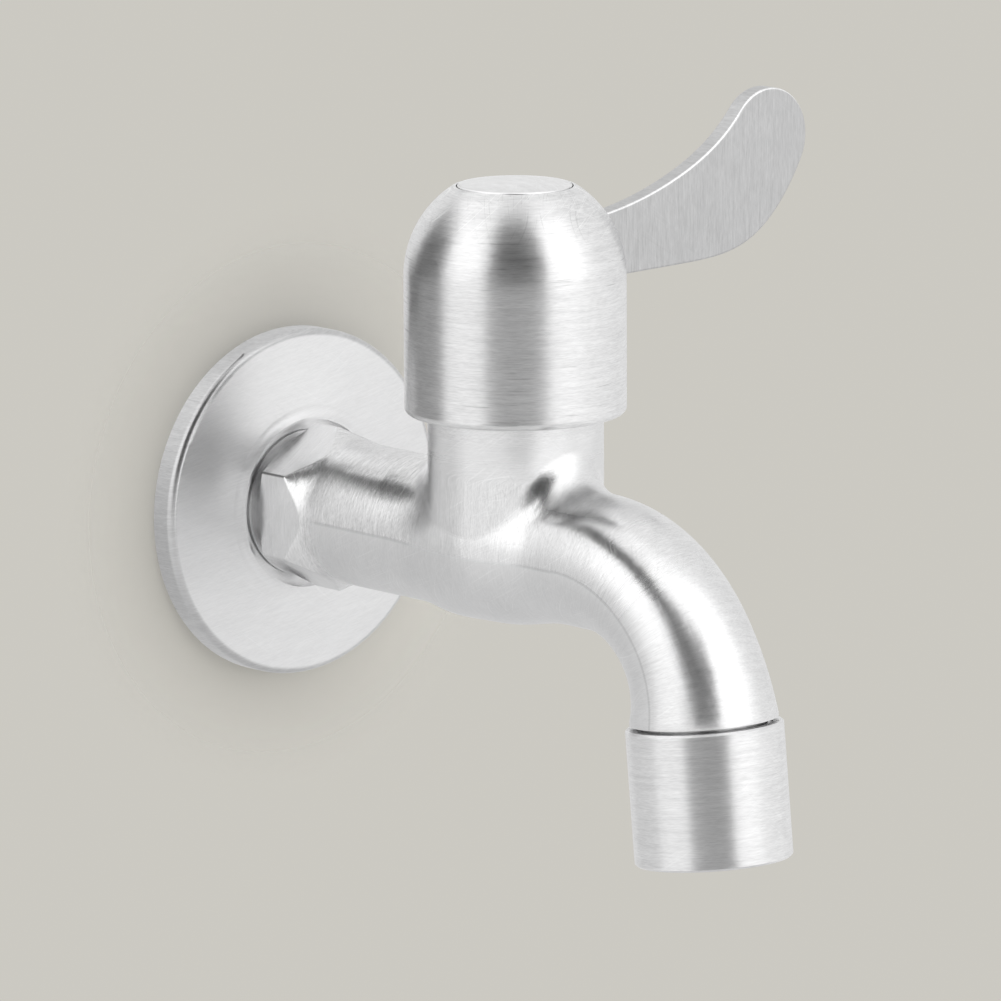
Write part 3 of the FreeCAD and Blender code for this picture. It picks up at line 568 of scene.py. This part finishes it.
def casting_zones(tree):
    """The casting's finish: satin below the grinder's line, ground above it, softer on neck and spout."""
    at = pipe(tree)
    over_line = blend(tree, at.in_bend, minus(tree, at.z, LINE_HEIGHT),
                      minus(tree, size_of(tree, at.ahead, at.above), BEND_RADIUS))
    below = times(tree, ramp(tree, over_line, *BELOW_EDGE, 1.0, 0.0), ramp(tree, at.y, *BELOW_BACK))
    line = times(tree, ramp(tree, calc(tree, "ABSOLUTE", over_line), *LINE_EDGE, 1.0, 0.0),
                 ramp(tree, at.off_valve, *CLEAR_OF_NECK), ramp(tree, at.y, *LINE_BACK))
    root = times(tree, ramp(tree, at.z, *ROOT_HEIGHT), ramp(tree, at.y, *ROOT_BACK),
                 ramp(tree, at.y, *ROOT_FRONT))
    fall = times(tree, ramp(tree, at.angle, *FALL_ANGLE), at.in_bend)
    arm = times(tree, ramp(tree, at.y, *ARM_FRONT), ramp(tree, at.y, *ARM_BACK), inverse(tree, below))
    softer = most(tree, times(tree, below, BELOW_SOFT), times(tree, at.neck, NECK_SOFT),
                  times(tree, root, ROOT_SOFT), times(tree, fall, FALL_SOFT))
    tone = times(tree, inverse(tree, line, LINE_DARK), inverse(tree, below, BELOW_DARK))
    streak = times(tree, plus(tree, times(tree, arm, ARM_STREAK), 1.0), inverse(tree, below, BELOW_STREAK))
    return tone, plus(tree, softer, 1.0), streak, 1.0


def flange_zones(tree):
    """The flange's rim is more streaked than its face, and its colour is darkened there as painted shade."""
    x, y, z = split_xyz(tree, object_place(tree))
    rim = ramp(tree, size_of(tree, x, z), *RIM_RADIUS)
    # painted shade: the rim's colour is darkened; the extra streak is the rim's grain
    return inverse(tree, rim, RIM_PAINTED_SHADE), 1.0, plus(tree, 1.0, times(tree, rim, RIM_STREAK)), 1.0


def blade_painted_highlight(tree):
    """The lever's upper front edge carries a painted highlight: its colour is brightened where it faces up and
    to the front.
    """
    x, y, z = split_xyz(tree, add(tree, "ShaderNodeTexCoord").outputs["Normal"])
    # painted highlight: mask of the upper front edge, whose colour is brightened
    edge = times(tree, ramp(tree, z, *HIGHLIGHT_UP), ramp(tree, y, *HIGHLIGHT_FRONT))
    return plus(tree, times(tree, edge, PAINTED_HIGHLIGHT), 1.0), 1.0, 1.0, 1.0


def dome_zones(tree):
    """The dome is scratched on its shoulder, and carries a few dark turning lines lower down."""
    x, y, z = split_xyz(tree, object_place(tree))
    shoulder = ramp(tree, z, *SHOULDER_HEIGHT)
    ring = noise(tree, join_xyz(tree, times(tree, z, TURNING_FINE), times(tree, x, TURNING_LONG),
                                times(tree, y, TURNING_LONG)), 1.0, 0.4)
    lines = times(tree, ramp(tree, ring, *TURNING_EDGE), inverse(tree, shoulder))
    return inverse(tree, lines, TURNING_DARK), 1.0, 1.0, plus(tree, shoulder, SCRATCH_LOW)


def build_groups():
    """The shared node groups."""
    GROUPS["brush"] = brush_group()
    GROUPS["scratch"] = scratch_group()


def shown(name):
    """The object that shows a piece or node."""
    return PIECES.get(name) or NODES[name]


def dress(material, names):
    """Puts a material on pieces and CAD nodes."""
    for name in names:
        slots = shown(name).data.materials
        slots.clear()
        slots.append(material)


# ---------------------------------------------------------------- operators


class TAP_OT_threads(Operator):
    """Cuts the threads of the shank and of the spout's end into a copy of the casting"""
    bl_idname = "tap.threads"
    bl_label = "Casting and threads"

    def execute(self, context):
        size = context.scene.tap_thread
        shank_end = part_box("tap_body")[1].y + PAST_END
        inlet = (Vector(), Vector(INLET_AXIS), size.inlet_crest, size.inlet_root)
        outlet = (OUTLET, Vector(OUTLET_AXIS), size.outlet_crest, size.outlet_root)
        casting = merged_copy("tap_body", "body_casting")
        turn_down(casting, *inlet, -HAIR, shank_end)
        turn_down(casting, *outlet, HAIR, size.outlet_length + PAST_END)
        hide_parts("tap_body")
        for piece in (casting,
                      thread("inlet_thread", *inlet, size.inlet_pitch, INLET_START, size.inlet_length),
                      thread("outlet_thread", *outlet, size.outlet_pitch, OUTLET_START,
                             size.outlet_length - RUN_OUT)):
            PIECES[piece.name] = piece
            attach(piece, "body")
        return {"FINISHED"}


def edit(piece):
    """Selects a piece alone and opens it in edit mode with nothing selected."""
    bpy.ops.object.select_all(action="DESELECT")
    piece.select_set(True)
    bpy.context.view_layer.objects.active = piece
    bpy.ops.object.mode_set(mode="EDIT")
    bpy.ops.mesh.select_mode(type="VERT")
    bpy.ops.mesh.select_all(action="DESELECT")


def pick(piece, test):
    """Selects the vertices whose place passes a test, and leaves edit mode open."""
    bpy.ops.object.mode_set(mode="OBJECT")
    for vertex in piece.data.vertices:
        vertex.select = test(vertex.co)
    bpy.ops.object.mode_set(mode="EDIT")


def merged_copy(node, name):
    """A joined copy of a CAD node, smooth but for its edges."""
    piece = bpy.data.objects.new(name, NODES[node].data.copy())
    bpy.context.scene.collection.objects.link(piece)
    edit(piece)
    bpy.ops.mesh.customdata_custom_splitnormals_clear()
    bpy.ops.mesh.select_all(action="SELECT")
    bpy.ops.mesh.remove_doubles(threshold=MERGE)
    bpy.ops.object.mode_set(mode="OBJECT")
    bpy.ops.object.shade_smooth_by_angle(angle=SMOOTH_BELOW)
    return piece


def turn_down(piece, origin, axis, crest, root, start, end):
    """Narrows the plain length of a thread to the root, and its end chamfer in the same measure."""
    along_axis = axis.to_track_quat("Z", "Y").to_matrix()
    measure = root / crest

    def within(low, high):
        """A test for places between two radii along the thread."""
        def test(place):
            along = (place - origin).dot(axis)
            return start < along < end and low < (place - origin - axis * along).length < high
        return test

    edit(piece)
    for low, high in ((crest - RING, crest + RING), (root, crest - RING)):
        pick(piece, within(low, high))
        bpy.ops.transform.resize(value=(measure, measure, 1.0), orient_type="GLOBAL",
                                 orient_matrix=along_axis, orient_matrix_type="GLOBAL", center_override=origin)
    bpy.ops.object.mode_set(mode="OBJECT")


def thread(name, origin, axis, crest, root, pitch, start, end):
    """A helical ridge round an axis: one tooth's outline, narrowed at the crest and screwed along."""
    turns = (end - start) / pitch - 1.0
    middle = start + pitch / 2
    bpy.ops.object.select_all(action="DESELECT")
    bpy.ops.mesh.primitive_plane_add(size=1.0, location=(0, 0, 0), rotation=(math.radians(90), 0, 0))
    ridge = bpy.context.object
    ridge.name = ridge.data.name = name
    bpy.ops.object.transform_apply(location=False, rotation=True, scale=False)
    edit(ridge)
    bpy.ops.mesh.select_all(action="SELECT")
    bpy.ops.transform.resize(value=(crest - root + SINK, 1.0, pitch * FOOT), center_override=(0, 0, 0))
    bpy.ops.transform.translate(value=((crest + root - SINK) / 2, 0.0, middle))
    bpy.ops.mesh.delete(type="ONLY_FACE")
    pick(ridge, lambda place: place.x > (crest + root) / 2)
    bpy.ops.transform.resize(value=(1.0, 1.0, CREST_FLAT), center_override=(crest, 0.0, middle))
    bpy.ops.object.mode_set(mode="OBJECT")
    helix = ridge.modifiers.new("helix", "SCREW")
    helix.axis = "Z"
    helix.angle = turns * 2 * math.pi
    helix.screw_offset = turns * pitch
    helix.steps = helix.render_steps = round(turns * TURN_STEPS)
    helix.use_merge_vertices = False
    bpy.ops.object.modifier_apply(modifier=helix.name)
    edit(ridge)
    bpy.ops.mesh.select_all(action="SELECT")
    bpy.ops.mesh.fill_holes(sides=4)
    bpy.ops.mesh.select_all(action="SELECT")
    bpy.ops.mesh.normals_make_consistent(inside=False)
    bpy.ops.object.mode_set(mode="OBJECT")
    ridge.matrix_world = Matrix.Translation(origin) @ axis.to_track_quat("Z", "Y").to_matrix().to_4x4()
    bpy.ops.object.transform_apply(location=True, rotation=True, scale=True)
    bpy.ops.object.shade_smooth_by_angle(angle=SMOOTH_BELOW)
    return ridge


FLOOR_MIDDLE_Y = -0.3


class TAP_OT_stage(Operator):
    """Sets the wall, the floor, the screens, the near card and the camera"""
    bl_idname = "tap.stage"
    bl_label = "Studio"

    def execute(self, context):
        setting = context.scene.tap_studio
        backdrop("wall", setting.wall_colour, setting.wall_radius * setting.wall_solid, setting.wall_radius,
                 (0, 0, 0), (math.radians(90), 0, 0))
        backdrop("floor", setting.floor_colour, setting.floor_solid, setting.floor_radius,
                 (0, FLOOR_MIDDLE_Y, -setting.floor_drop), (0, 0, 0))
        for row in SCREENS:
            screen(*row, setting)
        near_card(setting)
        surroundings(setting)
        camera(setting)
        return {"FINISHED"}


def backdrop(name, base, solid_to, outer, place, turned):
    """A plain disc that fades out at its edge, is open to rays from behind and isn't seen in the steel."""
    bpy.ops.object.select_all(action="DESELECT")
    bpy.ops.mesh.primitive_circle_add(vertices=96, radius=outer, fill_type="NGON", location=place,
                                      rotation=turned)
    disc = bpy.context.object
    disc.name = name
    material, tree, shader = new_material(name)
    shader.inputs["Base Color"].default_value = (*base, 1.0)
    shader.inputs["Roughness"].default_value = 0.9
    shader.inputs["Specular IOR Level"].default_value = 0.0
    solid = ramp(tree, move(tree, "LENGTH", object_place(tree)), solid_to, outer, 1.0, 0.0)
    behind = add(tree, "ShaderNodeNewGeometry").outputs["Backfacing"]
    feed(tree, shader.inputs["Alpha"], times(tree, solid, minus(tree, 1.0, behind)))
    disc.data.materials.append(material)
    disc.visible_glossy = False


def polar(azimuth, elevation, radius):
    """A point on a sphere; azimuth 0 is in front and 90 to the right."""
    a, e = math.radians(azimuth), math.radians(elevation)
    return Vector((math.sin(a) * math.cos(e), -math.cos(a) * math.cos(e), math.sin(e))) * radius


PANEL_DEGREES = 6     # the largest facet of a screen
LINKED_TONE = 0.09    # tone of a screen for the pieces that it doesn't light
SCREENS = (   # name, azimuths, elevations, brightness at the lower and upper edge, what it doesn't light
    ("left_low", -121, -72, -45, -6, 0.82, 0.90, ()),
    ("left_mid", -121, -72, -6, 20, 0.92, 1.35, ()),
    ("left_box", -121, -72, 20, 37, 1.35, 1.40, ()),
    ("left_over", -121, -96, 37, 44, 1.30, 1.25, ()),
    ("left_back", -168, -121, -10, 40, 0.62, 0.98, DOME),
    ("left_rear", -180, -168, -10, 40, 0.68, 0.98, ()),
    ("left_upper", -180, -121, 40, 44, 1.10, 1.05, ()),
    ("left_gap", -180, -96, 44, 59, 1.10, 1.20, CAST),
    ("mid_gap", -96, -72, 37, 57, 1.20, 1.10, CAST),
    ("front_under", -72, -17, -9, 2, 0.88, 0.90, DOMED),
    ("card_low_west", -72, -52, 2, 9, 0.95, 1.00, DOMED),
    ("card_low", -52, -17, 2, 9, 0.05, 0.05, ()),
    ("card_mid_west", -72, -61, 9, 16, 1.00, 1.05, DOMED),
    ("card_mid", -61, -17, 9, 16, 0.05, 0.05, ()),
    ("front_card", -72, -17, 16, 42, 0.05, 0.05, ()),
    ("front_low", -72, -17, -45, -9, 0.82, 0.88, ()),
    ("front_corner", -72, -45, 42, 50, 0.05, 0.05, ()),
    ("front_notch", -45, -17, 42, 50, 1.40, 1.40, DOMED_FLANGE),
    ("front_top", -72, -17, 50, 72, 1.30, 1.30, DOMED_FLANGE),
    ("front_edge", -17, -9, -9, 60, 1.50, 1.50, DOMED_FLANGE),
    ("right_box", -9, 36, -4, 60, 1.50, 1.50, ()),
    ("right_low", -17, 22, -45, -4, 0.82, 0.86, ()),
    ("right_foot", 22, 39, -45, -15, 0.90, 0.92, ()),
    ("right_step", 22, 39, -15, -10, 0.92, 0.56, ()),
    ("right_dip", 22, 39, -10, -4, 0.56, 0.82, ()),
    ("right_under", 39, 78, -45, 0, 0.93, 0.93, ()),
    ("right_mid", 36, 52, 0, 60, 1.12, 1.08, ()),
    ("right_screen", 52, 78, 0, 60, 0.88, 0.90, ()),
    ("far_screen", 78, 150, -45, 60, 0.82, 0.84, ()),
    ("back_screen", 150, 180, -45, 60, 0.75, 0.85, ()),
    ("rear_low", -180, -121, -45, -10, 0.68, 0.66, ()),
    ("ground", -180, 180, -89, -45, 0.70, 0.74, ()),
    ("left_top", -180, -72, 59, 72, 0.95, 1.10, ()),
    ("right_top", -17, 30, 60, 72, 1.30, 1.20, ()),
    ("ceiling", -180, 30, 72, 89, 1.15, 1.15, ()),
    ("far_ceiling", 30, 180, 60, 89, 0.92, 0.92, ()),
)


def screen(name, west, east, low, high, dim, bright, unlit, setting):
    """A curved screen round the tap between two azimuths and two elevations, out of the camera's sight."""
    radius, level = setting.screen_radius, setting.screen_level
    across = max(2, round((east - west) / PANEL_DEGREES))
    upwards = max(2, round((high - low) / PANEL_DEGREES))
    points = [polar(west + (east - west) * i / across, low + (high - low) * j / upwards, radius)
              for j in range(upwards + 1) for i in range(across + 1)]
    faces = [(a, a + across + 1, a + across + 2, a + 1)
             for j in range(upwards) for a in range(j * (across + 1), j * (across + 1) + across)]
    mesh = bpy.data.meshes.new(name)
    mesh.from_pydata(points, [], faces)
    panel = bpy.data.objects.new(name, mesh)
    panel.location = (0.0, VALVE_Y, 0.0)
    bpy.context.scene.collection.objects.link(panel)
    material, tree, shader = new_material(name)
    tone = LINKED_TONE if unlit else 0.0
    shader.inputs["Base Color"].default_value = (tone, tone, tone, 1.0)
    shader.inputs["Specular IOR Level"].default_value = 0.0
    shader.inputs["Emission Color"].default_value = (*WHITE, 1.0)
    lower, upper = (radius * math.sin(math.radians(edge)) for edge in (low, high))
    feed(tree, shader.inputs["Emission Strength"],
         ramp(tree, split_xyz(tree, object_place(tree))[2], lower, upper, dim * level, bright * level))
    mesh.materials.append(material)
    panel.visible_camera = False
    if unlit:
        panel.light_linking.receiver_collection = all_but(name, unlit)


def all_but(name, unlit):
    """A collection that keeps some pieces and nodes from seeing a screen."""
    kept = bpy.data.collections.new(name + " spares")
    for node in unlit:
        kept.objects.link(shown(node))
    for link in kept.collection_objects:
        link.light_linking.link_state = "EXCLUDE"
    return kept


def near_card(setting):
    """A small dark card by the wall, seen only in the steel: painted shade standing in for the wall's shadow
    beside the flange, which draws the dark line along the arm.
    """
    bpy.ops.mesh.primitive_plane_add(size=1.0, location=setting.card_place, rotation=(math.radians(90), 0, 0))
    card = bpy.context.object
    card.name = "near_card"
    card.scale = (setting.card_width, setting.card_height, 1.0)
    material, tree, shader = new_material("near_card")
    # painted shade: the card's dark tone stands for the wall's shadow, seen only in reflections
    shader.inputs["Base Color"].default_value = (*(setting.card_level,) * 3, 1.0)
    card.data.materials.append(material)
    card.visible_camera = card.visible_shadow = card.visible_diffuse = False


def surroundings(setting):
    """The plain pale backdrop behind everything."""
    world = bpy.context.scene.world or bpy.data.worlds.new("surroundings")
    bpy.context.scene.world = world
    world.use_nodes = True
    sky = next(n for n in world.node_tree.nodes if n.type == "BACKGROUND")
    sky.inputs["Color"].default_value = (*setting.backdrop_colour, 1.0)
    sky.inputs["Strength"].default_value = 1.0


def camera(setting):
    """The camera at the photograph's place, angle and lens."""
    data = bpy.data.cameras.new("camera")
    data.sensor_width = 36.0
    data.lens = setting.lens
    data.clip_start, data.clip_end = 0.05, 20.0
    eye = bpy.data.objects.new("camera", data)
    bpy.context.scene.collection.objects.link(eye)
    yaw, pitch = setting.camera_yaw, setting.camera_pitch
    look = Vector((math.sin(yaw) * math.cos(pitch), math.cos(yaw) * math.cos(pitch), -math.sin(pitch)))
    right = Vector((math.cos(yaw), -math.sin(yaw), 0.0))
    up = right.cross(look)
    c, s = math.cos(setting.camera_roll), math.sin(setting.camera_roll)
    right, up = right * c + up * s, up * c - right * s
    eye.location = setting.camera_place
    eye.rotation_mode = "QUATERNION"
    eye.rotation_quaternion = Matrix((right, up, -look)).transposed().to_quaternion()
    bpy.context.scene.camera = eye
    bpy.context.scene.view_settings.view_transform = "Standard"


STEELS = (
    # material, colour and roughness settings, nodes and pieces, lines, spread, zones; then anisotropy, length of
    # a brush line, depth in grain depths, streak, scratches and sway
    ("dome steel", "steel", "dome_roughness", DOME, around_z, upright, dome_zones,
     0.72, 0.0045, 1.0, 0.34, 0.30, 0.05),
    ("casting", "casting", "body_roughness", CAST, around_pipe, down_pipe, casting_zones,
     0.35, 0.0022, 1.0, 0.24, 0.07, 0.06),
    ("flange steel", "flange", "flange_roughness", ("wall_flange",), over_face, upright, flange_zones,
     0.5, 0.004, 0.6, 0.12, 0.04, 0.04),
    ("blade steel", "blade", "blade_roughness", ("lever_blade",), object_place, sideways, blade_painted_highlight,
     0.6, 0.005, 1.0, 0.32, 0.06, 0.08),
    ("cap steel", "cap", "cap_roughness", ("index_cap",), over_face, upright, even,
     0.3, 0.006, 0.6, 0.22, 0.06, 0.05),
    ("collar steel", "steel", "dome_roughness", ("nozzle_collar",), around_outlet, down_outlet, even,
     0.80, 0.0045, 1.0, 0.30, 0.06, 0.06),
)


class TAP_OT_steel(Operator):
    """Gives the visible steel pieces their brushed and satin finishes"""
    bl_idname = "tap.steel"
    bl_label = "Steel finishes"

    def execute(self, context):
        look = context.scene.tap_steel
        for (name, tone, blur, names, place, tangent, zones,
             anisotropy, reach, relief, streak, scratches, sway) in STEELS:
            dress(steel(name, getattr(look, tone), getattr(look, blur), anisotropy, place, tangent, look.grain,
                        reach, look.grain_depth * relief, streak, scratches, sway, zones), names)
        return {"FINISHED"}


PLAINS = (   # material, colour, roughness, metallic, nodes
    ("rubber", (0.035, 0.035, 0.036), 0.65, 0.0,
     ("seat_seal", "cartridge_gasket", "spindle_o_rings", "cap_ring", "nozzle_washer")),
    ("ceramic", (0.86, 0.85, 0.82), 0.18, 0.0, ("fixed_disc", "moving_disc")),
    ("brass", (0.78, 0.60, 0.30), 0.28, 1.0, ("cartridge_barrel", "spindle")),
    ("white nylon", (0.82, 0.82, 0.79), 0.45, 0.0, ("thrust_washer", "spline_insert")),
    ("aerator plastic", (0.76, 0.76, 0.74), 0.35, 0.0,
     ("aerator_housing", "aerator_diffuser", "aerator_grid")),
    ("spring steel", (0.38, 0.38, 0.39), 0.3, 1.0, ("spindle_circlip", "spring_washer")),
    ("screw steel", (0.74, 0.74, 0.74), 0.25, 1.0, ("handle_screw",)),
    ("screen steel", (0.62, 0.62, 0.62), 0.3, 1.0, ("aerator_screens",)),
)


class TAP_OT_inner(Operator):
    """Gives the cartridge, rings, screw and aerator their finishes"""
    bl_idname = "tap.inner"
    bl_label = "Inner pieces"

    def execute(self, context):
        for name, base, roughness, metallic, names in PLAINS:
            dress(plain(name, base, roughness, metallic), names)
        return {"FINISHED"}


class TAP_PT_panel(Panel):
    """Lists the tap's steps"""
    bl_label = "Wall tap"
    bl_idname = "TAP_PT_panel"
    bl_space_type = "VIEW_3D"
    bl_region_type = "UI"
    bl_category = "Tap"

    def draw(self, context):
        for step in STEPS:
            self.layout.operator(step.bl_idname)
        for group in (context.scene.tap_studio, context.scene.tap_thread, context.scene.tap_steel):
            for name in group.bl_rna.properties.keys():
                if name not in ("rna_type", "name"):
                    self.layout.prop(group, name)


STEPS = (TAP_OT_threads, TAP_OT_stage, TAP_OT_steel, TAP_OT_inner)
CLASSES = (StudioSettings, ThreadSettings, SteelSettings, *STEPS, TAP_PT_panel)


def register():
    """Registers the classes and their settings."""
    for cls in CLASSES:
        bpy.utils.register_class(cls)
    bpy.types.Scene.tap_studio = PointerProperty(type=StudioSettings)
    bpy.types.Scene.tap_thread = PointerProperty(type=ThreadSettings)
    bpy.types.Scene.tap_steel = PointerProperty(type=SteelSettings)


def unregister():
    """Takes them out again."""
    del bpy.types.Scene.tap_steel
    del bpy.types.Scene.tap_thread
    del bpy.types.Scene.tap_studio
    for cls in reversed(CLASSES):
        bpy.utils.unregister_class(cls)


def main():
    """Runs every step."""
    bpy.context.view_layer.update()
    register()
    build_groups()
    bpy.ops.tap.threads()
    bpy.ops.tap.stage()
    bpy.ops.tap.steel()
    bpy.ops.tap.inner()


if __name__ == "__main__":
    main()
